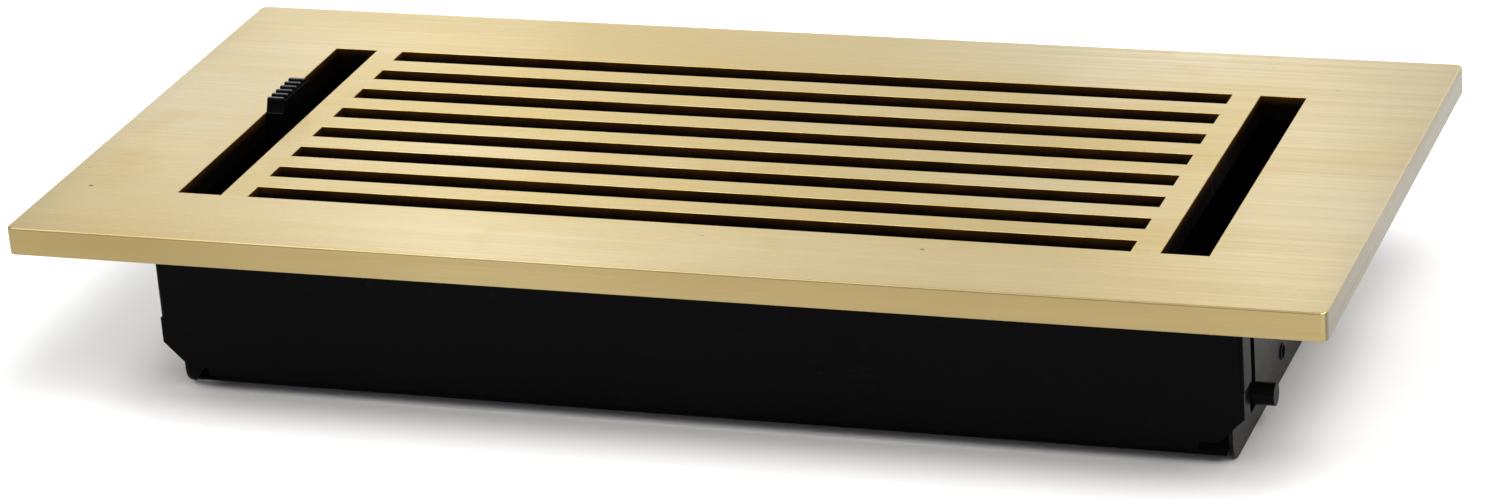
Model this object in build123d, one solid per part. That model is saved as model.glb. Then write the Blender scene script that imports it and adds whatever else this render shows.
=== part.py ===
from build123d import *
import os
from math import cos, radians, sin

# Brass linear-bar floor register with a two-blade damper. All lengths in millimetres.
# Origin: centre of the seating plane under the faceplate's rim.
# +X runs along the register, +Y away from its front edge, +Z up out of the floor.

# Faceplate
plate_length = 292.1
plate_width = 139.7
plate_thick = 6.35
plate_corner_radius = 1.6
plate_edge_radius = 0.4
relief_depth = 0.8
relief_half_length = 128.2
relief_half_width = 51.3
relief_corner_radius = 3.0

# Air slots through the faceplate
slot_count = 8
slot_pitch = 12.0
slot_width = 5.88
slot_half_length = 99.4
side_slot_inner = 105.8
side_slot_outer = 116.07

# Damper box, bent from sheet steel and hung under the faceplate
box_top = relief_depth
sheet = 0.9
wall_outer_y = 47.5
wall_half_length = 122.9
wall_bottom = -36.4
wall_foot_half_length = 112.65
wall_heel = -34.7
wall_chamfer = 5.8
wall_flange_reach = 2.5
wall_flange_half_length = 120.0
bend_radius = 1.1
return_reach = 7.0
return_bottom = -23.05

end_outer_x = 119.6
end_half_width = 45.0
end_bottom = -40.65
end_corner_radius = 4.5
end_flange_reach = 6.6
end_flange_half_width = 38.0
tooling_hole_radius = 1.5
tooling_hole_z = -34.65
tooling_hole_lip = 0.35
entry_slot_offset = 0.1
entry_slot_width = 5.2
entry_slot_top = -1.5
entry_slot_bottom = -36.15

# Screws that hang the box from the faceplate
screw_x = 122.9
screw_y = 30.0
screw_radius = 1.72
screw_hole_radius = 1.78
screw_hole_depth = 4.5
screw_engagement = 4.0
screw_head_radius = 2.8
screw_head_height = 2.1
screw_recess_width = 0.8
screw_recess_length = 3.2
screw_recess_depth = 1.2
screw_head_round = 0.84
washer_radius = 3.0
washer_thick = 0.6

# Damper blades
pivot_y = 24.0
pivot_z = -33.6
rest_tilt = 10.5
blade_sheet = 0.6
blade_outer_reach = 22.0
blade_inner_reach = 25.0
blade_left = -112.0
blade_right = 118.2
hem_width = 4.0
hem_left = -116.4
blade_notch_depth = 1.2
bead_centre = 12.0
bead_half_width = 2.0
bead_top_half_width = 1.0
bead_height = 0.9
lip_width = 3.0
lip_ramp = 1.0
lip_offset = 0.8

# Moulded caps at the blade ends
cap_half_width = 7.0
cap_half_height = 2.6
cap_reach = 8.0
cap_slit_clearance = 0.03
cap_edge_radius = 0.6
cap_slit_end_left = 0.1
cap_slit_end_right = 0.4
peg_radius = 2.5
peg_clearance = 0.05
peg_tip = 124.0
collar_radius = 4.0
collar_end = 118.5
right_cap_end = 117.5
rivet_radius = 1.2
rivet_hole_radius = 1.25
rivet_head_radius = 2.0
rivet_head_height = 0.8
rivet_head_round = 0.64
rivet_spacing = 9.0
rivet_inset = 4.0

# Cranks on the left caps and the link that joins them
crank_radius = 17.9
crank_lead = 45.0
crank_outer = -115.6
crank_inner = -112.6
crank_boss_radius = 3.5
crank_root_radius = 4.6
pin_radius = 2.0
pin_clearance = 0.05
pin_tip = -118.4
link_outer = -117.2
link_inner = -116.0
link_half_height = 4.0
clip_radius = 3.6
clip_outer = -118.2
clip_inner = -117.5
clip_notch_width = 1.4

# Thumb tab on the link and the ribbed knob pressed over it
tab_half_width = 3.6
tab_outer = -114.1
tab_inner = -112.9
tab_bend_low = -13.0
tab_bend_high = -9.0
tab_top = 7.4
knob_outer = -115.7
knob_inner = -111.3
knob_bottom = -2.0
knob_top = 9.9
knob_base_half_length = 7.6
knob_crown_half_length = 6.4
knob_edge_radius = 0.4
knob_socket_clearance = 0.05
rib_count = 6
rib_pitch = 2.42
rib_half_width = 0.6
rib_top_half_width = 0.3
rib_height = 0.7
rib_root = 0.2
rib_end_inset = 0.15

# Conical spring washers on the right pegs
spring_bore = 2.6
spring_rim = 4.6
spring_thick = 0.3
spring_dish = 0.7

# Values worked out from the dimensions above
cut = 1.0  # how far a cutting shape runs past the face that it opens
side_slot_half_width = (slot_count - 1) / 2 * slot_pitch + slot_width / 2
wall_inner_y = wall_outer_y - sheet
bend_x = wall_half_length - bend_radius
blade_cut = cap_half_height + cut
end_inner_x = end_outer_x - sheet
flange_under = box_top - sheet
crank_angle = crank_lead - rest_tilt
link_y = crank_radius * sin(radians(crank_angle))
link_z = pivot_z + crank_radius * cos(radians(crank_angle))


def block(x0, x1, y0, y1, z0, z1):
    middle = Pos((x0 + x1) / 2, (y0 + y1) / 2, (z0 + z1) / 2)
    return middle * Box(abs(x1 - x0), abs(y1 - y0), abs(z1 - z0))


def rod_x(radius, x0, x1, y=0.0, z=0.0):
    return Pos((x0 + x1) / 2, y, z) * Rot(0, 90, 0) * Cylinder(radius, abs(x1 - x0))


def rod_z(radius, x, y, z0, z1):
    return Pos(x, y, (z0 + z1) / 2) * Cylinder(radius, abs(z1 - z0))


def prism(points, start, end, axis):
    """Extrude a closed outline, drawn in the plane across `axis` ("X" or "Y"), from start to end."""
    if axis == "X":
        corners = [(start, a, b) for a, b in points]
        direction = (1, 0, 0)
    else:
        corners = [(a, start, b) for a, b in points]
        direction = (0, 1, 0)
    return extrude(make_face(Polyline(*corners, close=True)), amount=end - start, dir=direction)


def hang(side, shape):
    """Put a shape drawn about a blade's own axis, blade closed, where it lies at rest."""
    return Pos(0, side * pivot_y, pivot_z) * Rot(rest_tilt, 0, 0) * shape


def faceplate():
    outline = RectangleRounded(plate_length, plate_width, plate_corner_radius)
    plate = extrude(outline, plate_thick)
    plate = fillet(plate.edges().group_by(Axis.Z)[-1], plate_edge_radius)
    relief = RectangleRounded(2 * relief_half_length, 2 * relief_half_width, relief_corner_radius)
    plate -= extrude(relief, relief_depth)
    for i in range(slot_count):
        y = (i - (slot_count - 1) / 2) * slot_pitch
        half = slot_width / 2
        plate -= block(-slot_half_length, slot_half_length, y - half, y + half, -cut, plate_thick + cut)
    for end in (-1, 1):
        plate -= block(
            end * side_slot_inner,
            end * side_slot_outer,
            -side_slot_half_width,
            side_slot_half_width,
            -cut,
            plate_thick + cut,
        )
    for x, y in screw_places():
        plate -= rod_z(screw_hole_radius, x, y, 0, box_top + screw_hole_depth)
    return plate


def screw_places():
    return [(sx * screw_x, sy * screw_y) for sx in (-1, 1) for sy in (-1, 1)]


def wall(side):
    """Long wall of the box: side -1 is the front, +1 the rear."""
    shoulder = wall_heel + wall_chamfer
    heel_x = wall_half_length - wall_chamfer
    right_half = [
        (bend_x, box_top),
        (bend_x, return_bottom),
        (wall_half_length, return_bottom),
        (wall_half_length, shoulder),
        (heel_x, wall_heel),
        (wall_foot_half_length, wall_heel),
        (wall_foot_half_length, wall_bottom),
    ]
    outline = right_half + [(-x, z) for x, z in reversed(right_half)]
    near, far = sorted((side * wall_inner_y, side * wall_outer_y))
    body = prism(outline, near, far, "Y")
    body += block(
        -wall_flange_half_length,
        wall_flange_half_length,
        side * wall_inner_y,
        side * (wall_outer_y + wall_flange_reach),
        flange_under,
        box_top,
    )
    for end in (-1, 1):
        body += return_flange(end, side)
    return body


def return_flange(end, side):
    """Part of a long wall that is bent round the corner of the box."""
    bend_y = side * (wall_outer_y - bend_radius)
    bend = rod_z(bend_radius, end * bend_x, bend_y, return_bottom, box_top)
    bend -= rod_z(bend_radius - sheet, end * bend_x, bend_y, return_bottom - cut, box_top + cut)
    bend &= block(
        end * bend_x,
        end * wall_half_length,
        bend_y,
        side * wall_outer_y,
        return_bottom,
        box_top,
    )
    return bend + block(
        end * (wall_half_length - sheet),
        end * wall_half_length,
        side * (wall_outer_y - return_reach),
        bend_y,
        return_bottom,
        box_top,
    )


def end_plate(end):
    """Short end of the box, drawn as a shallow pan: end -1 is the left, +1 the right."""
    inner = end * end_inner_x
    outer = end * end_outer_x
    cut_in = inner - end * cut
    cut_out = outer + end * cut
    body = block(inner, outer, -end_half_width, end_half_width, end_bottom, box_top)
    body = fillet(body.edges().filter_by(Axis.X).group_by(Axis.Z)[0], end_corner_radius)
    body += block(inner, outer, -wall_inner_y, wall_inner_y, return_bottom, box_top)
    for side in (-1, 1):
        body += block(
            inner,
            end * bend_x,
            side * (wall_inner_y - sheet),
            side * wall_inner_y,
            return_bottom,
            flange_under,
        )
    body += block(
        inner,
        outer + end * end_flange_reach,
        -end_flange_half_width,
        end_flange_half_width,
        flange_under,
        box_top,
    )
    lip_end = outer + end * tooling_hole_lip
    body += rod_x(tooling_hole_radius + tooling_hole_lip, outer, lip_end, 0, tooling_hole_z)
    body -= rod_x(tooling_hole_radius, cut_in, cut_out, 0, tooling_hole_z)
    for side in (-1, 1):
        body -= rod_x(peg_radius + peg_clearance, cut_in, cut_out, side * pivot_y, pivot_z)
        if end < 0:
            continue
        # at the right the peg drops down the entry slot and snaps sideways into its hole
        slot_near = pivot_y + entry_slot_offset
        body -= block(
            cut_in,
            cut_out,
            side * slot_near,
            side * (slot_near + entry_slot_width),
            entry_slot_bottom,
            entry_slot_top,
        )
    for x, y in screw_places():
        if x * end > 0:
            body -= rod_z(screw_hole_radius, x, y, flange_under - cut, box_top + cut)
    return body


def flange_screws():
    screws = []
    head_top = flange_under - washer_thick
    for x, y in screw_places():
        low = head_top - screw_head_height
        recess_top = low + screw_recess_depth
        head = rod_z(screw_head_radius, x, y, low, head_top)
        head = fillet(head.edges().group_by(Axis.Z)[0], screw_head_round)
        screw = head + rod_z(screw_radius, x, y, head_top, box_top + screw_engagement)
        half_long = screw_recess_length / 2
        half_wide = screw_recess_width / 2
        for half_x, half_y in ((half_long, half_wide), (half_wide, half_long)):
            screw -= block(x - half_x, x + half_x, y - half_y, y + half_y, low - cut, recess_top)
        screws.append(screw)
    return Compound(children=screws)


def screw_washers():
    rings = []
    for x, y in screw_places():
        ring = rod_z(washer_radius, x, y, flange_under - washer_thick, flange_under)
        hole = rod_z(screw_hole_radius, x, y, flange_under - washer_thick - cut, flange_under + cut)
        rings.append(ring - hole)
    return Compound(children=rings)


def blade_midline(side):
    """Height of the sheet's middle along Y, from the outer edge to the inner lip, blade closed."""
    points = [(side * blade_outer_reach, 0.0)]
    for centre in (side * bead_centre, -side * bead_centre):
        points.append((centre + side * bead_half_width, 0.0))
        points.append((centre + side * bead_top_half_width, bead_height))
        points.append((centre - side * bead_top_half_width, bead_height))
        points.append((centre - side * bead_half_width, 0.0))
    points.append((-side * (blade_inner_reach - lip_width), 0.0))
    points.append((-side * (blade_inner_reach - lip_width + lip_ramp), -side * lip_offset))
    points.append((-side * blade_inner_reach, -side * lip_offset))
    return points


def rivet_places(end):
    """Rivet centres in a blade's own frame: end -1 is the left cap, +1 the right."""
    x = blade_left + rivet_inset if end < 0 else blade_right - rivet_inset
    return [(x, -rivet_spacing / 2), (x, rivet_spacing / 2)]


def blade(side):
    half = blade_sheet / 2
    middle = blade_midline(side)
    upper = [(y, z + half) for y, z in middle]
    lower = [(y, z - half) for y, z in reversed(middle)]
    body = prism(upper + lower, blade_left, blade_right, "X")
    # the outer edge is folded under into a hem, whose left end runs on past the sheet
    body += block(
        hem_left,
        blade_right,
        side * (blade_outer_reach - hem_width),
        side * blade_outer_reach,
        -half - blade_sheet,
        -half,
    )
    # the right end is notched so that the cap's body sits flush behind the spring washer
    notch_left = blade_right - blade_notch_depth
    body -= block(notch_left, blade_right + cut, -cap_half_width, cap_half_width, -blade_cut, blade_cut)
    for end in (-1, 1):
        for x, y in rivet_places(end):
            body -= rod_z(rivet_hole_radius, x, y, -blade_cut, blade_cut)
    return hang(side, body)


def cap_body(x0, x1, slit_x0, slit_x1):
    body = block(x0, x1, -cap_half_width, cap_half_width, -cap_half_height, cap_half_height)
    body = fillet(body.edges().filter_by(Axis.X), cap_edge_radius)
    gap = blade_sheet / 2 + cap_slit_clearance
    body -= block(slit_x0, slit_x1, -cap_half_width - cut, cap_half_width + cut, -gap, gap)
    return body


def crank_cap(side):
    """Left cap: holds the blade, carries the pivot peg and the crank that the link drives."""
    inner_end = blade_left + cap_reach
    body = cap_body(crank_outer, inner_end, blade_left - cap_slit_end_left, inner_end + cut)
    body += rod_x(collar_radius, -collar_end, crank_outer)
    body += rod_x(peg_radius, -peg_tip, -collar_end)
    lean = radians(crank_lead)
    pin_y = crank_radius * sin(lean)
    pin_z = crank_radius * cos(lean)
    across_y = cos(lean)
    across_z = -sin(lean)
    arm = [
        (crank_root_radius * across_y, crank_root_radius * across_z),
        (pin_y + crank_boss_radius * across_y, pin_z + crank_boss_radius * across_z),
        (pin_y - crank_boss_radius * across_y, pin_z - crank_boss_radius * across_z),
        (-crank_root_radius * across_y, -crank_root_radius * across_z),
    ]
    body += prism(arm, crank_outer, crank_inner, "X")
    body += rod_x(crank_root_radius, crank_outer, crank_inner)
    body += rod_x(crank_boss_radius, crank_outer, crank_inner, pin_y, pin_z)
    body += rod_x(pin_radius, pin_tip, crank_outer, pin_y, pin_z)
    for x, y in rivet_places(-1):
        body -= rod_z(rivet_hole_radius, x, y, -blade_cut, blade_cut)
    return hang(side, body)


def pivot_cap(side):
    """Right cap: holds the blade and carries the pivot peg."""
    inner_end = blade_right - cap_reach
    body = cap_body(inner_end, right_cap_end, inner_end - cut, right_cap_end - cap_slit_end_right)
    body += rod_x(peg_radius, right_cap_end, peg_tip)
    for x, y in rivet_places(1):
        body -= rod_z(rivet_hole_radius, x, y, -blade_cut, blade_cut)
    return hang(side, body)


def blade_rivets(side):
    rivets = []
    for end in (-1, 1):
        for x, y in rivet_places(end):
            low = -cap_half_height
            high = cap_half_height
            rivet = rod_z(rivet_radius, x, y, low, high)
            top_head = rod_z(rivet_head_radius, x, y, high, high + rivet_head_height)
            low_head = rod_z(rivet_head_radius, x, y, low - rivet_head_height, low)
            top_head = fillet(top_head.edges().group_by(Axis.Z)[-1], rivet_head_round)
            low_head = fillet(low_head.edges().group_by(Axis.Z)[0], rivet_head_round)
            rivets.append(hang(side, rivet + top_head + low_head))
    return Compound(children=rivets)


def spring_washer(side):
    """Conical spring washer between the right cap and the end plate."""
    x0 = right_cap_end
    profile = [
        (x0, spring_bore),
        (x0 + spring_thick, spring_bore),
        (x0 + spring_dish + spring_thick, spring_rim),
        (x0 + spring_dish, spring_rim),
    ]
    corners = [(x, r, 0) for x, r in profile]
    ring = revolve(make_face(Polyline(*corners, close=True)), Axis.X, 360)
    return hang(side, ring)


def link_bar():
    bar = block(link_outer, link_inner, -pivot_y, pivot_y, -link_half_height, link_half_height)
    for side in (-1, 1):
        bar += rod_x(link_half_height, link_outer, link_inner, side * pivot_y)
    for side in (-1, 1):
        bar -= rod_x(pin_radius + pin_clearance, link_outer - cut, link_inner + cut, side * pivot_y)
    bar = Pos(0, link_y, link_z) * bar
    near = link_y - tab_half_width
    far = link_y + tab_half_width
    bar += block(link_outer, link_inner, near, far, link_z, tab_bend_low)
    bend = [
        (link_outer, tab_bend_low),
        (link_inner, tab_bend_low),
        (tab_inner, tab_bend_high),
        (tab_outer, tab_bend_high),
    ]
    bar += prism(bend, near, far, "Y")
    bar += block(tab_outer, tab_inner, near, far, tab_bend_high, tab_top)
    return bar


def link_clip(side):
    """Push-on ring that keeps the link on the crank pin."""
    ring = rod_x(clip_radius, clip_outer, clip_inner)
    ring -= rod_x(pin_radius, clip_outer - cut, clip_inner + cut)
    half = clip_notch_width / 2
    ring -= block(clip_outer - cut, clip_inner + cut, -half, half, 0, clip_radius + cut)
    return Pos(0, side * pivot_y + link_y, link_z) * ring


def thumb_knob():
    crown = knob_top - rib_height
    outline = [
        (-knob_base_half_length, knob_bottom),
        (knob_base_half_length, knob_bottom),
        (knob_base_half_length, plate_thick),
        (knob_crown_half_length, crown),
        (-knob_crown_half_length, crown),
        (-knob_base_half_length, plate_thick),
    ]
    knob = prism(outline, knob_outer, knob_inner, "X")
    knob = fillet(knob.edges().filter_by(Axis.Z), knob_edge_radius)
    for i in range(rib_count):
        y = (i - (rib_count - 1) / 2) * rib_pitch
        rib = [
            (y - rib_half_width, crown - rib_root),
            (y + rib_half_width, crown - rib_root),
            (y + rib_top_half_width, knob_top),
            (y - rib_top_half_width, knob_top),
        ]
        knob += prism(rib, knob_outer + rib_end_inset, knob_inner - rib_end_inset, "X")
    gap = knob_socket_clearance
    knob -= block(
        tab_outer - gap,
        tab_inner + gap,
        -tab_half_width - gap,
        tab_half_width + gap,
        knob_bottom - cut,
        tab_top + gap,
    )
    return Pos(0, link_y, 0) * knob


parts = {
    "faceplate": faceplate(),
    "front_wall": wall(-1),
    "rear_wall": wall(1),
    "left_end_plate": end_plate(-1),
    "right_end_plate": end_plate(1),
    "flange_screws": flange_screws(),
    "screw_washers": screw_washers(),
    "front_blade": blade(-1),
    "rear_blade": blade(1),
    "front_crank_cap": crank_cap(-1),
    "rear_crank_cap": crank_cap(1),
    "front_pivot_cap": pivot_cap(-1),
    "rear_pivot_cap": pivot_cap(1),
    "front_blade_rivets": blade_rivets(-1),
    "rear_blade_rivets": blade_rivets(1),
    "front_spring_washer": spring_washer(-1),
    "rear_spring_washer": spring_washer(1),
    "link_bar": link_bar(),
    "front_link_clip": link_clip(-1),
    "rear_link_clip": link_clip(1),
    "thumb_knob": thumb_knob(),
}

os.makedirs("parts", exist_ok=True)
for name, shape in parts.items():
    export_step(shape, f"parts/{name}.step")
print(f"crank pins at dy {link_y:.3f}, z {link_z:.3f}")
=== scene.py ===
import math

import bmesh
import bpy
from mathutils import Matrix, Vector


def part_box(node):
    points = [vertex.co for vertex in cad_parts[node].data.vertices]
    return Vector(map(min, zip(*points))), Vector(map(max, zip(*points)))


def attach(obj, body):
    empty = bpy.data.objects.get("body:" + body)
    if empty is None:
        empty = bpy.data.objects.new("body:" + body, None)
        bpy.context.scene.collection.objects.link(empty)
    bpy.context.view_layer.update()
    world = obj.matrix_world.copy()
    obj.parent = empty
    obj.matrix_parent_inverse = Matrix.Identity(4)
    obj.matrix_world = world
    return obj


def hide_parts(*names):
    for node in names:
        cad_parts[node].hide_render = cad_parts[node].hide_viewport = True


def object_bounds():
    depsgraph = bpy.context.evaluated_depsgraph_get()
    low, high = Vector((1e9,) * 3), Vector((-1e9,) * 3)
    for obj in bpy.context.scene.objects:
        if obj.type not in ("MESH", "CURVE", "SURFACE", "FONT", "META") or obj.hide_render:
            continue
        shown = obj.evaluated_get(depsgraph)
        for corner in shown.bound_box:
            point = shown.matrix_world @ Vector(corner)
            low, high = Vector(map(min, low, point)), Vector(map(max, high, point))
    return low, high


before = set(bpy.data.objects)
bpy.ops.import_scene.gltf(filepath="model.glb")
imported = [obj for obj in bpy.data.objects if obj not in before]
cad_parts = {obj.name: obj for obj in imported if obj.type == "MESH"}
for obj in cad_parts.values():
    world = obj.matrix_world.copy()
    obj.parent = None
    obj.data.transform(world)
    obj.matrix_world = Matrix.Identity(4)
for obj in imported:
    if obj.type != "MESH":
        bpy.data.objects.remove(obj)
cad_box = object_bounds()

# Looks of the brass linear-bar floor register. Places come from the CAD frame. Lengths are in
# millimetres unless a comment says metres, and MM turns them into Blender's metres.
MM = 0.001

# ---------------------------------------------------------------- measures
_, plate_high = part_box("faceplate")
knob_low, knob_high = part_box("thumb_knob")

slot_count = 8
slot_pitch = 12.0
slot_width = 5.88
slot_half_length = 99.4
side_slot_inner = 105.8
side_slot_outer = 116.07
relief_half_length = 128.2
relief_half_width = 51.3
relief_depth = 0.8
corner_radius = 1.6
top_edge_radius = 0.5
bottom_edge_radius = 0.3
slot_edge_radius = 0.12
rim_zone = 3.0  # an edge this near the plate's outline belongs to its rim
outline_zone = 1.7  # a face this near it belongs to the outer edges
level_tolerance = 0.01

# The z of a face's normal, at which it counts as level, rounded, a slot's edge or the underside.
level_face = 0.97
rounded_face = 0.3
slot_edge_face = 0.25
under_face = -0.7

# Angles between two faces, in radians, above which their edge is rounded.
plate_edge_angle = 1.0
knob_edge_angle = 0.25

# The thumb knob's body, with a shallow dish in each end for the finger.
crown_setback = 1.2
crown_drop = 0.7
dish_margin = 0.55
dish_depth = 0.22
knob_edge_radius = 0.14
knob_end_face = 0.8  # the least y of the normal of the knob's end faces

# The grip ribs across its crown.
rib_count = 6
rib_pitch = 2.42
rib_root = 0.78  # half widths of a rib at its root and crest
rib_crest = 0.40
rib_flank = 0.05
rib_curve = 0.16
rib_curve_steps = 4
rib_end_taper = 0.12
rib_end_drop = 0.8
rib_sink = 0.15
rib_left_margin = 0.15
rib_right_margin = 0.35
rib_top_face = 0.6  # the least z of the normal of a rib's rubbed top

# Painted shade on the slot walls, brown fading to near black: where the fade starts and ends below
# the top face.
slot_shade_start = 0.1
slot_shade_end = 2.3

# The yellower field of the top face and the painted shade at its ends, in metres from the plate's
# middle.
field_end_outer, field_end_inner = 0.124, 0.104
field_side_outer, field_side_inner = 0.056, 0.042
end_shade_start, end_shade_full = 0.140, 0.1462


# ---------------------------------------------------------------- node helpers
class Shader:
    """A small wrapper that builds one procedural material."""

    def __init__(self, name):
        self.material = bpy.data.materials.new(name)
        self.material.use_nodes = True
        self.tree = self.material.node_tree
        self.tree.nodes.clear()
        output = self.tree.nodes.new("ShaderNodeOutputMaterial")
        self.bsdf = self.tree.nodes.new("ShaderNodeBsdfPrincipled")
        self.link(self.bsdf.outputs["BSDF"], output.inputs["Surface"])
        self.coordinates = self.tree.nodes.new("ShaderNodeTexCoord").outputs["Object"]

    def link(self, source, target):
        self.tree.links.new(source, target)

    def drive(self, name, source):
        """Feed a node's output to the shader's socket of that name."""
        self.link(source, self.bsdf.inputs[name])

    def set(self, **values):
        for name, value in values.items():
            self.bsdf.inputs[name.replace("_", " ")].default_value = value

    def position(self):
        node = self.tree.nodes.new("ShaderNodeSeparateXYZ")
        self.link(self.coordinates, node.inputs["Vector"])
        return node.outputs

    def noise(self, scale, detail=3.0, roughness=0.5, stretch=(1, 1, 1), offset=(0, 0, 0)):
        """Noise of scale cells to the metre, drawn out along an axis whose stretch is small."""
        mapping = self.tree.nodes.new("ShaderNodeMapping")
        mapping.inputs["Scale"].default_value = stretch
        mapping.inputs["Location"].default_value = offset
        self.link(self.coordinates, mapping.inputs["Vector"])
        node = self.tree.nodes.new("ShaderNodeTexNoise")
        node.inputs["Scale"].default_value = scale
        node.inputs["Detail"].default_value = detail
        node.inputs["Roughness"].default_value = roughness
        self.link(mapping.outputs["Vector"], node.inputs["Vector"])
        return node.outputs["Fac"]

    def ramp(self, source, stops):
        node = self.tree.nodes.new("ShaderNodeValToRGB")
        elements = node.color_ramp.elements
        while len(elements) < len(stops):
            elements.new(0.5)
        for element, (position, colour) in zip(elements, stops):
            element.position = position
            element.color = (*colour, 1.0)
        self.link(source, node.inputs["Fac"])
        return node.outputs["Color"]

    def remap(self, source, low, high, out_low=0.0, out_high=1.0):
        node = self.tree.nodes.new("ShaderNodeMapRange")
        node.inputs["From Min"].default_value = low
        node.inputs["From Max"].default_value = high
        node.inputs["To Min"].default_value = out_low
        node.inputs["To Max"].default_value = out_high
        self.link(source, node.inputs["Value"])
        return node.outputs["Result"]

    def math(self, operation, first, second):
        node = self.tree.nodes.new("ShaderNodeMath")
        node.operation = operation
        for socket, value in zip(node.inputs, (first, second)):
            if isinstance(value, (int, float)):
                socket.default_value = value
            else:
                self.link(value, socket)
        return node.outputs["Value"]

    def mix(self, factor, first, second):
        node = self.tree.nodes.new("ShaderNodeMix")
        node.data_type = "RGBA"
        for name, value in (("Factor", factor), ("A", first), ("B", second)):
            socket = next(s for s in node.inputs if s.name == name and s.enabled)
            if isinstance(value, tuple):
                socket.default_value = (*value, 1.0)
            else:
                self.link(value, socket)
        return next(s for s in node.outputs if s.name == "Result" and s.enabled)

    def stain(self, base, source, start, full, strength, colour):
        """Lay colour over base: none where source is start, rising to strength where it is full."""
        return self.mix(self.remap(source, start, full, 0.0, strength), base, colour)

    def bump(self, height, strength, distance):
        """Bump of the surface; its distance is in metres."""
        node = self.tree.nodes.new("ShaderNodeBump")
        node.inputs["Strength"].default_value = strength
        node.inputs["Distance"].default_value = distance
        self.link(height, node.inputs["Height"])
        self.drive("Normal", node.outputs["Normal"])


def linear(red, green, blue):
    """Linear colour of a 0-255 display colour."""
    return tuple(
        v / 255 / 12.92 if v <= 10.3 else ((v / 255 + 0.055) / 1.055) ** 2.4
        for v in (red, green, blue)
    )


# ---------------------------------------------------------------- materials
def brushed_brass(name, pale, mid, deep, along, roughness, grain=1.0):
    """Satin brass brushed along one axis: grain lines, soft clouds of tone that partly paint shade
    and highlight bands, and a few fine pits.
    """
    s = Shader(name)
    stretch = (0.005, 1.0, 1.0) if along == "X" else (1.0, 0.005, 1.0)
    wide = (0.04, 1.0, 1.0) if along == "X" else (1.0, 0.04, 1.0)
    fine = s.noise(2400.0, 2.0, 0.6, stretch)
    coarse = s.noise(700.0, 3.0, 0.6, stretch, offset=(3.1, 1.7, 0.4))
    streak = s.noise(170.0, 3.0, 0.6, wide)
    cloud = s.noise(12.0, 2.0, 0.45, (0.7, 1.0, 1.0), offset=(0.9, 0.3, 0.0))
    haze = s.noise(38.0, 3.0, 0.5, (0.5, 1.0, 1.0), offset=(0.3, 0.9, 0.2))
    pits = s.noise(310.0, 1.0, 0.5, offset=(1.3, 0.2, 0.7))
    # The clouds vary the tone at random, and are offset so that they also paint darker and lighter
    # bands across the top as painted reflections.
    base = s.ramp(cloud, [(0.30, deep), (0.50, mid), (0.70, pale)])
    for source, start, full, strength, colour in (
        (haze, 0.48, 0.72, 0.32, deep),
        (haze, 0.44, 0.25, 0.28, pale),
        (streak, 0.44, 0.68, 0.18 * grain, deep),
        (coarse, 0.40, 0.66, 0.22 * grain, deep),
        (fine, 0.35, 0.70, 0.18 * grain, deep),
        (pits, 0.795, 0.83, 0.75, linear(92, 74, 44)),
    ):
        base = s.stain(base, source, start, full, strength, colour)
    lines = s.math("ADD", s.math("MULTIPLY", fine, 0.55), s.math("MULTIPLY", coarse, 0.45))
    s.drive("Roughness", s.remap(lines, 0.3, 0.7, roughness - 0.03, roughness + 0.04))
    s.bump(lines, 0.06, 0.00003)
    s.set(Metallic=1.0)
    return s, base


def across(s, direction, amount):
    """Spread the gloss across the grain, which runs square to the given direction."""
    tangent = s.tree.nodes.new("ShaderNodeCombineXYZ")
    for socket, value in zip(tangent.inputs, direction):
        socket.default_value = value
    s.drive("Tangent", tangent.outputs["Vector"])
    s.set(Anisotropic=amount)


def top_brass():
    """The brushed top: paler on the broad rim, yellower on the bars and round the slot ends."""
    pale, mid, deep = linear(247, 234, 198), linear(242, 225, 178), linear(228, 205, 148)
    s, base = brushed_brass("top_brass", pale, mid, deep, "X", 0.25)
    position = s.position()
    from_end = s.math("ABSOLUTE", position["X"], 0.0)
    from_side = s.math("ABSOLUTE", position["Y"], 0.0)
    inside_x = s.remap(from_end, field_end_outer, field_end_inner)
    inside_y = s.remap(from_side, field_side_outer, field_side_inner)
    clumps = s.noise(34.0, 3.0, 0.6, (0.6, 1.0, 1.0), offset=(0.1, 0.6, 0.3))
    patch = s.remap(clumps, 0.34, 0.66, 0.35, 1.0)
    field = s.math("MULTIPLY", s.math("MULTIPLY", inside_x, inside_y), patch)
    base = s.mix(s.math("MULTIPLY", field, 0.85), base, linear(231, 204, 136))
    tarnish = s.noise(26.0, 4.0, 0.6, offset=(0.7, 0.1, 0.5))
    base = s.stain(base, tarnish, 0.60, 0.76, 0.45, linear(222, 190, 118))
    # Painted shade: the last few millimetres at each end of the top are dulled towards a greyer,
    # darker brass.
    base = s.stain(base, from_end, end_shade_start, end_shade_full, 0.22, linear(214, 200, 168))
    s.drive("Base Color", base)
    across(s, (0.0, 1.0, 0.0), 0.97)
    return s.material


def edge_brass(name, pale, mid, deep, along):
    """Sawn and brushed edges of the plate, a little duller than the top, and darker in colour as
    painted shade.
    """
    s, base = brushed_brass(name, pale, mid, deep, along, 0.36, 1.3)
    s.drive("Base Color", base)
    across(s, (0.0, 0.0, 1.0), 0.6)
    return s.material


def underside_brass():
    """Milled underside, with the broad passes of the cutter along the plate."""
    pale, mid, deep = linear(168, 148, 104), linear(158, 136, 88), linear(134, 112, 70)
    s, base = brushed_brass("underside_brass", pale, mid, deep, "X", 0.44, 1.4)
    passes = s.noise(95.0, 1.0, 0.3, (0.02, 1.0, 1.0), offset=(0.0, 0.4, 0.0))
    s.drive("Base Color", s.stain(base, passes, 0.45, 0.6, 0.3, linear(118, 98, 62)))
    return s.material


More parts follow.
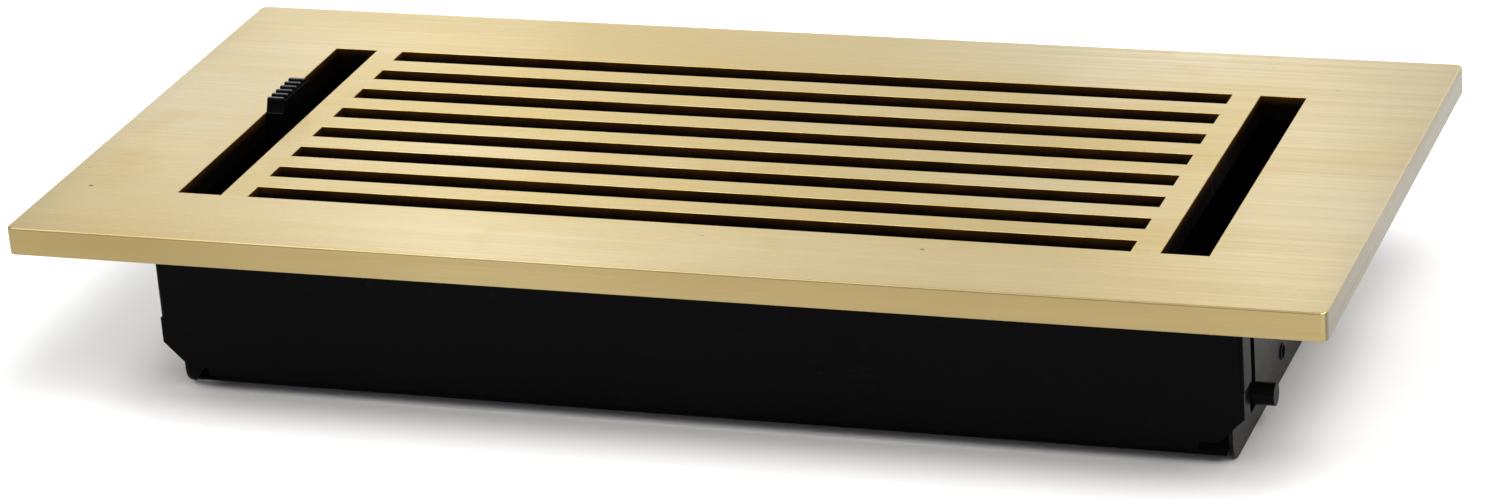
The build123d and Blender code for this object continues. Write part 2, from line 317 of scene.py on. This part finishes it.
def arris_brass():
    """The thin edges of the slots, brighter and yellower than the faces: a painted highlight along
    each slot's arris.
    """
    s = Shader("arris_brass")
    rub_and_painted_highlight = s.noise(120.0, 3.0, 0.6)
    nick = s.noise(900.0, 2.0, 0.5, (0.3, 0.3, 1.0))
    # Painted highlight: these yellow tones stand in for the line of light along each slot's arris.
    dull, mid, bright = linear(196, 164, 92), linear(222, 194, 124), linear(232, 212, 158)
    s.drive("Base Color", s.ramp(rub_and_painted_highlight, [(0.32, dull), (0.52, mid), (0.70, bright)]))
    s.drive("Roughness", s.remap(nick, 0.3, 0.7, 0.30, 0.48))
    s.set(Metallic=1.0)
    return s.material


def slot_wall_brass():
    """Inside of the slots: dark oxidised metal, brown near the top and fading to near black
    downwards as painted shade.
    """
    s = Shader("slot_wall_brass")
    top = plate_high.z
    # Painted shade: the wall darkens to near black deeper in the slot.
    height = s.remap(s.position()["Z"], top - slot_shade_end * MM, top - slot_shade_start * MM)
    mill = s.noise(900.0, 3.0, 0.6, (1.0, 1.0, 0.05))
    patch = s.noise(70.0, 3.0, 0.6)
    brown = s.mix(s.remap(patch, 0.35, 0.65), linear(68, 42, 10), linear(45, 26, 5))
    s.drive("Base Color", s.mix(s.math("POWER", height, 1.4), linear(5, 3, 1), brown))
    s.drive("Roughness", s.remap(mill, 0.3, 0.7, 0.50, 0.70))
    s.bump(mill, 0.25, 0.00005)
    s.set(Specular_IOR_Level=0.05)
    return s.material


def black_powder_coat(name, sheen):
    """Thin satin black powder coat over sheet steel, with a faint orange peel and rubbed spots."""
    s = Shader(name)
    peel = s.noise(950.0, 2.0, 0.5)
    cloud = s.noise(18.0, 3.0, 0.5)
    dust = s.noise(240.0, 4.0, 0.65)
    scuff = s.noise(110.0, 5.0, 0.7, (0.25, 1.0, 1.0), offset=(0.4, 0.8, 0.1))
    dark, light = (0.0006, 0.0006, 0.0007), (0.0014, 0.0014, 0.0017)
    base = s.mix(s.remap(cloud, 0.3, 0.7), dark, light)
    base = s.stain(base, dust, 0.62, 0.78, 0.30, (0.010, 0.010, 0.010))
    base = s.stain(base, scuff, 0.66, 0.76, 0.30, (0.020, 0.020, 0.021))
    s.drive("Base Color", base)
    rough = s.remap(peel, 0.3, 0.7, 0.27, 0.35)
    s.drive("Roughness", s.math("ADD", rough, s.remap(cloud, 0.35, 0.7, 0.0, 0.06)))
    s.bump(peel, 0.08, 0.00003)
    s.set(Specular_IOR_Level=sheen)
    return s.material


def black_plastic(name, gloss, worn):
    """Moulded black plastic with a fine spark texture and slightly rubbed high spots."""
    s = Shader(name)
    spark = s.noise(1800.0, 2.0, 0.6)
    rub_and_painted_highlight = s.noise(160.0, 4.0, 0.6)
    fresh, rubbed = (0.0010, 0.0010, 0.0012), (worn * 0.9, worn * 0.9, worn)
    s.drive("Base Color", s.mix(s.remap(rub_and_painted_highlight, 0.35, 0.7), fresh, rubbed))
    s.drive("Roughness", s.remap(spark, 0.3, 0.7, 0.28, 0.42))
    s.bump(spark, 0.10, 0.00004)
    s.set(Specular_IOR_Level=gloss)
    return s.material


def zinc_steel():
    """Zinc-plated steel of the fasteners, with a faint passivation tint."""
    s = Shader("zinc_steel")
    spangle = s.noise(420.0, 4.0, 0.6)
    turn = s.noise(1500.0, 2.0, 0.5, (1.0, 1.0, 0.2))
    dark, mid, tinted = (0.33, 0.34, 0.35), (0.52, 0.53, 0.53), (0.56, 0.54, 0.47)
    s.drive("Base Color", s.ramp(spangle, [(0.3, dark), (0.55, mid), (0.75, tinted)]))
    s.drive("Roughness", s.remap(turn, 0.3, 0.7, 0.24, 0.42))
    s.bump(turn, 0.15, 0.00003)
    s.set(Metallic=1.0)
    return s.material


brass_top = top_brass()
# The long edges are darker than the top partly as painted shade; the short end faces are a darker,
# greyer copy of the same brass with more painted shade.
brass_long_edge_painted_shade = edge_brass(
    "long_edge_brass_painted_shade", linear(184, 167, 126), linear(177, 158, 113), linear(158, 139, 94), "X"
)
brass_short_edge_painted_shade = edge_brass(
    "short_edge_brass_painted_shade", linear(146, 138, 118), linear(136, 127, 105), linear(117, 107, 86), "Y"
)
brass_inside = slot_wall_brass()
brass_underside = underside_brass()
brass_arris = arris_brass()
coated_steel = black_powder_coat("black_powder_coat", 0.035)
handled_steel = black_powder_coat("handled_powder_coat", 0.10)
moulded_black = black_plastic("black_plastic", 0.06, 0.003)
knob_black = black_plastic("knob_plastic", 0.04, 0.0016)
rubbed_black = black_plastic("rubbed_rib_plastic", 0.85, 0.03)
plated_steel = zinc_steel()


# ---------------------------------------------------------------- mesh helpers
def add_to_scene(name, data):
    thing = bpy.data.objects.new(name, data)
    bpy.context.scene.collection.objects.link(thing)
    return thing


def make_object(name, bm, materials, sharp_angle):
    """Turn a bmesh into a smooth-shaded object, with edges sharp above an angle in degrees."""
    bmesh.ops.recalc_face_normals(bm, faces=bm.faces)
    for face in bm.faces:
        face.smooth = True
    limit = math.radians(sharp_angle)
    for edge in bm.edges:
        edge.smooth = len(edge.link_faces) == 2 and edge.calc_face_angle() < limit
    mesh = bpy.data.meshes.new(name)
    bm.to_mesh(mesh)
    bm.free()
    for material in materials:
        mesh.materials.append(material)
    piece = add_to_scene(name, mesh)
    weighted = piece.modifiers.new("weighted_normals", "WEIGHTED_NORMAL")
    weighted.keep_sharp = True
    return piece


def round_edges(bm, edges, radius, segments):
    bmesh.ops.bevel(
        bm,
        geom=list(edges),
        offset=radius * MM,
        offset_type="OFFSET",
        segments=segments,
        profile=0.5,
        affect="EDGES",
        clamp_overlap=False,
    )


def bridge(bm, first, second):
    """Join two rings of vertices with a band of faces."""
    for k in range(len(first)):
        n = (k + 1) % len(first)
        bm.faces.new((first[k], first[n], second[n], second[k]))


# ---------------------------------------------------------------- faceplate
def faceplate():
    half_x = plate_high.x / MM
    half_y = plate_high.y / MM
    top = plate_high.z / MM
    middle = (slot_count - 1) / 2
    slot_edge = middle * slot_pitch + slot_width / 2

    right_xs = [slot_half_length, side_slot_inner, side_slot_outer, relief_half_length, half_x]
    xs = sorted([-x for x in right_xs] + right_xs)
    centres = [(i - middle) * slot_pitch for i in range(slot_count)]
    ys = [-half_y, -relief_half_width, relief_half_width, half_y]
    for centre in centres:
        ys += [centre - slot_width / 2, centre + slot_width / 2]
    ys.sort()

    def is_open(x, y):
        in_long = abs(x) < slot_half_length and any(abs(y - c) < slot_width / 2 for c in centres)
        in_side = side_slot_inner < abs(x) < side_slot_outer and abs(y) < slot_edge
        return in_long or in_side

    def under(x, y):
        in_relief = abs(x) < relief_half_length and abs(y) < relief_half_width
        return relief_depth if in_relief else 0.0

    bm = bmesh.new()
    corners = {}

    def corner(x, y, z):
        key = (round(x, 4), round(y, 4), round(z, 4))
        if key not in corners:
            corners[key] = bm.verts.new((x * MM, y * MM, z * MM))
        return corners[key]

    def face(*points):
        bm.faces.new([corner(*p) for p in points])

    # Height of the plate's lower side in each cell of the grid, or None where a slot is open.
    cells = {}
    for i in range(len(xs) - 1):
        for j in range(len(ys) - 1):
            x = (xs[i] + xs[i + 1]) / 2
            y = (ys[j] + ys[j + 1]) / 2
            cells[i, j] = None if is_open(x, y) else under(x, y)

    def wall(x0, y0, x1, y1, here, there):
        """Upright face between a solid cell and what lies past one of its sides."""
        if there is None:
            face((x0, y0, here), (x1, y1, here), (x1, y1, top), (x0, y0, top))
        elif there > here:
            face((x0, y0, here), (x1, y1, here), (x1, y1, there), (x0, y0, there))

    for (i, j), low in cells.items():
        if low is None:
            continue
        x0, x1, y0, y1 = xs[i], xs[i + 1], ys[j], ys[j + 1]
        face((x0, y0, top), (x1, y0, top), (x1, y1, top), (x0, y1, top))
        face((x0, y1, low), (x1, y1, low), (x1, y0, low), (x0, y0, low))
        wall(x0, y0, x1, y0, low, cells.get((i, j - 1)))
        wall(x1, y0, x1, y1, low, cells.get((i + 1, j)))
        wall(x1, y1, x0, y1, low, cells.get((i, j + 1)))
        wall(x0, y1, x0, y0, low, cells.get((i - 1, j)))

    bmesh.ops.recalc_face_normals(bm, faces=bm.faces)

    def at_top(edge):
        return all(v.co.z > (top - level_tolerance) * MM for v in edge.verts)

    def at_bottom(edge):
        return all(v.co.z < level_tolerance * MM for v in edge.verts)

    def on_rim(edge):
        return all(
            abs(v.co.x) > (half_x - rim_zone) * MM or abs(v.co.y) > (half_y - rim_zone) * MM
            for v in edge.verts
        )

    def sharp_edges(wanted):
        joined = [e for e in bm.edges if len(e.link_faces) == 2]
        return [e for e in joined if e.calc_face_angle() > plate_edge_angle and wanted(e)]

    upright = sharp_edges(lambda e: on_rim(e) and not at_top(e) and not at_bottom(e))
    round_edges(bm, upright, corner_radius, 6)
    round_edges(bm, sharp_edges(lambda e: on_rim(e) and at_top(e)), top_edge_radius, 4)
    round_edges(bm, sharp_edges(lambda e: on_rim(e) and at_bottom(e)), bottom_edge_radius, 2)
    round_edges(bm, sharp_edges(lambda e: at_top(e) and not on_rim(e)), slot_edge_radius, 3)

    edge_skins = [brass_long_edge_painted_shade, brass_short_edge_painted_shade]
    skins = [brass_top, *edge_skins, brass_inside, brass_underside, brass_arris]
    for f in bm.faces:
        centre = f.calc_center_median() / MM
        normal = f.normal
        outer = abs(centre.x) > half_x - outline_zone or abs(centre.y) > half_y - outline_zone
        to_end = abs(normal.x) > abs(normal.y)
        to_side = abs(normal.y) > abs(normal.x)
        if normal.z > level_face or (outer and normal.z > rounded_face and to_end):
            skin = brass_top
        elif normal.z < under_face or (not outer and centre.z < relief_depth):
            skin = brass_underside
        elif outer:
            skin = brass_long_edge_painted_shade if to_side else brass_short_edge_painted_shade
        else:
            skin = brass_arris if normal.z > slot_edge_face else brass_inside
        f.material_index = skins.index(skin)
    piece = make_object("brass_faceplate", bm, skins, 50.0)
    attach(piece, "grille")
    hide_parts("faceplate")


# ---------------------------------------------------------------- thumb knob
def thumb_knob():
    low = knob_low / MM
    high = knob_high / MM
    mid_y = (low.y + high.y) / 2
    half_base = (high.y - low.y) / 2
    half_crown = half_base - crown_setback
    crown = high.z - crown_drop
    shoulder = plate_high.z / MM
    outline = [
        (-half_base, low.z),
        (half_base, low.z),
        (half_base, shoulder),
        (half_crown, crown),
        (-half_crown, crown),
        (-half_base, shoulder),
    ]
    bm = bmesh.new()
    left, right = (
        [bm.verts.new((x * MM, (mid_y + y) * MM, z * MM)) for y, z in outline]
        for x in (low.x, high.x)
    )
    bm.faces.new(left)
    bm.faces.new(right[::-1])
    bridge(bm, left, right)
    bmesh.ops.recalc_face_normals(bm, faces=bm.faces)
    ends = [f for f in bm.faces if abs(f.normal.y) > knob_end_face]
    bmesh.ops.inset_individual(
        bm, faces=ends, thickness=dish_margin * MM, depth=-dish_depth * MM
    )
    bent = [e for e in bm.edges if e.calc_face_angle() > knob_edge_angle]
    round_edges(bm, bent, knob_edge_radius, 2)

    body_faces = set(bm.faces)
    rib_x = (low.x + rib_left_margin, high.x - rib_right_margin)
    for i in range(rib_count):
        y = mid_y + (i - (rib_count - 1) / 2) * rib_pitch
        rib(bm, y, *rib_x, crown - rib_sink, high.z)
    bm.normal_update()
    for face in bm.faces:
        rubbed = face not in body_faces and abs(face.normal.z) > rib_top_face
        face.material_index = 1 if rubbed else 0
    piece = make_object("ribbed_thumb_knob", bm, [knob_black, rubbed_black], 40.0)
    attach(piece, "link")
    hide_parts("thumb_knob")


def rib(bm, y, x0, x1, z0, z1):
    """One grip rib across the knob's crown: flat on top, with steep flanks and small roundings."""
    profile = [(-rib_root, z0), (-rib_crest - rib_flank, z1 - rib_curve)]
    for k in range(rib_curve_steps + 1):
        angle = math.pi - math.pi / 2 * k / rib_curve_steps
        dy = -rib_crest + rib_curve + rib_curve * math.cos(angle)
        profile.append((dy, z1 - rib_curve + rib_curve * math.sin(angle)))
    profile += [(-dy, z) for dy, z in reversed(profile)]
    taper = rib_end_taper
    rings = [
        [
            bm.verts.new((x * MM, (y + dy * (1 - shrink)) * MM, (z - shrink * rib_end_drop) * MM))
            for dy, z in profile
        ]
        for x, shrink in ((x0, taper), (x0 + taper, 0.0), (x1 - taper, 0.0), (x1, taper))
    ]
    for first, second in zip(rings, rings[1:]):
        bridge(bm, first, second)
    bm.faces.new(rings[0])
    bm.faces.new(rings[-1][::-1])


# ---------------------------------------------------------------- CAD pieces that are kept
def finish_cad_piece(node, material, width):
    """Give a CAD piece its material, join its shell's split corners and round its sharp edges."""
    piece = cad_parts[node]
    piece.data.materials.clear()
    piece.data.materials.append(material)
    weld = piece.modifiers.new("weld", "WELD")
    weld.merge_threshold = 0.004 * MM
    bevel = piece.modifiers.new("bevel", "BEVEL")
    bevel.width = width * MM
    bevel.segments = 2
    bevel.limit_method = "ANGLE"
    bevel.angle_limit = math.radians(40)
    bevel.use_clamp_overlap = True
    bevel.harden_normals = True


faceplate()
thumb_knob()

for name in ("front_wall", "rear_wall", "front_blade", "rear_blade", "link_bar"):
    finish_cad_piece(name, coated_steel, 0.12)
for name in ("left_end_plate", "right_end_plate"):
    finish_cad_piece(name, handled_steel, 0.12)
for name in ("front_crank_cap", "rear_crank_cap", "front_pivot_cap", "rear_pivot_cap"):
    finish_cad_piece(name, moulded_black, 0.2)
for name in ("flange_screws", "screw_washers", "front_blade_rivets", "rear_blade_rivets"):
    finish_cad_piece(name, plated_steel, 0.08)
for name in ("front_spring_washer", "rear_spring_washer", "front_link_clip", "rear_link_clip"):
    finish_cad_piece(name, plated_steel, 0.06)


# ---------------------------------------------------------------- floor, light and camera
# Lengths in metres, angles in degrees.
floor_half_size = 6.0
world_strength = 0.42

# Name, azimuth, elevation, distance, width, height and radiance. The three boxes light the object
# from high up, the back panel shines in the brushed top, and the strips lay soft bands across it.
area_lights = (
    ("back_panel", 179, 18, 2.4, 2.9, 2.0, 0.42),
    ("left_box", -62, 56, 2.2, 1.5, 1.5, 3.7),
    ("right_box", 74, 58, 2.2, 1.5, 1.5, 3.4),
    ("front_box", 42, 55, 2.2, 1.4, 1.4, 3.9),
    ("left_strip", -154.3, 24, 2.2, 0.14, 1.4, 0.39),
    ("right_strip", -168.6, 24, 2.2, 0.17, 1.4, 0.32),
)

camera_target = Vector((2.8, -8.4, -14.9)) * MM
camera_distance = 1.1045
camera_azimuth, camera_elevation, camera_roll = 20.26, 22.62, -4.45
camera_lens, camera_sensor = 120.6, 36.0  # in millimetres


def floor_material():
    s = Shader("floor")
    speck = s.noise(30.0, 3.0, 0.5)
    s.drive("Base Color", s.mix(speck, (0.93, 0.93, 0.93), (0.95, 0.95, 0.95)))
    s.set(Roughness=0.9, Specular_IOR_Level=0.0)
    return s.material


def add_floor():
    half = floor_half_size
    z = cad_box[0].z
    corners = [(-half, -half, z), (half, -half, z), (half, half, z), (-half, half, z)]
    mesh = bpy.data.meshes.new("floor")
    mesh.from_pydata(corners, [], [(0, 1, 2, 3)])
    mesh.materials.append(floor_material())
    floor = add_to_scene("floor", mesh)


def add_world():
    world = bpy.data.worlds.new("studio")
    world.use_nodes = True
    background = world.node_tree.nodes["Background"]
    background.inputs["Color"].default_value = (1.0, 1.0, 1.0, 1.0)
    background.inputs["Strength"].default_value = world_strength
    bpy.context.scene.world = world


def add_area_light(name, azimuth, elevation, distance, width, height, radiance):
    """A soft light that looks at the object from azimuth (0 is in front, 90 at the right)."""
    data = bpy.data.lights.new(name, "AREA")
    data.shape = "RECTANGLE"
    data.size = width
    data.size_y = height
    data.energy = radiance * math.pi * width * height
    a, e = math.radians(azimuth), math.radians(elevation)
    back = Vector((math.sin(a) * math.cos(e), -math.cos(a) * math.cos(e), math.sin(e)))
    lamp = add_to_scene(name, data)
    lamp.location = back * distance
    lamp.rotation_mode = "QUATERNION"
    lamp.rotation_quaternion = (-back).to_track_quat("-Z", "Y")


def add_camera():
    """The camera looks at its target from azimuth and elevation, rolled about its own axis."""
    a, e = math.radians(camera_azimuth), math.radians(camera_elevation)
    roll = math.radians(camera_roll)
    forward = Vector((-math.sin(a) * math.cos(e), math.cos(a) * math.cos(e), -math.sin(e)))
    level_right = Vector((math.cos(a), math.sin(a), 0))
    level_up = level_right.cross(forward)
    right = level_right * math.cos(roll) + level_up * math.sin(roll)
    up = right.cross(forward)
    axes = Matrix((right, up, -forward)).transposed()
    place = Matrix.Translation(camera_target - forward * camera_distance)
    data = bpy.data.cameras.new("camera")
    data.lens = camera_lens
    data.sensor_width = camera_sensor
    camera = add_to_scene("camera", data)
    camera.matrix_world = place @ axes.to_4x4()
    bpy.context.scene.camera = camera


add_floor()
add_world()
for light in area_lights:
    add_area_light(*light)
add_camera()
bpy.context.scene.view_settings.view_transform = "Standard"
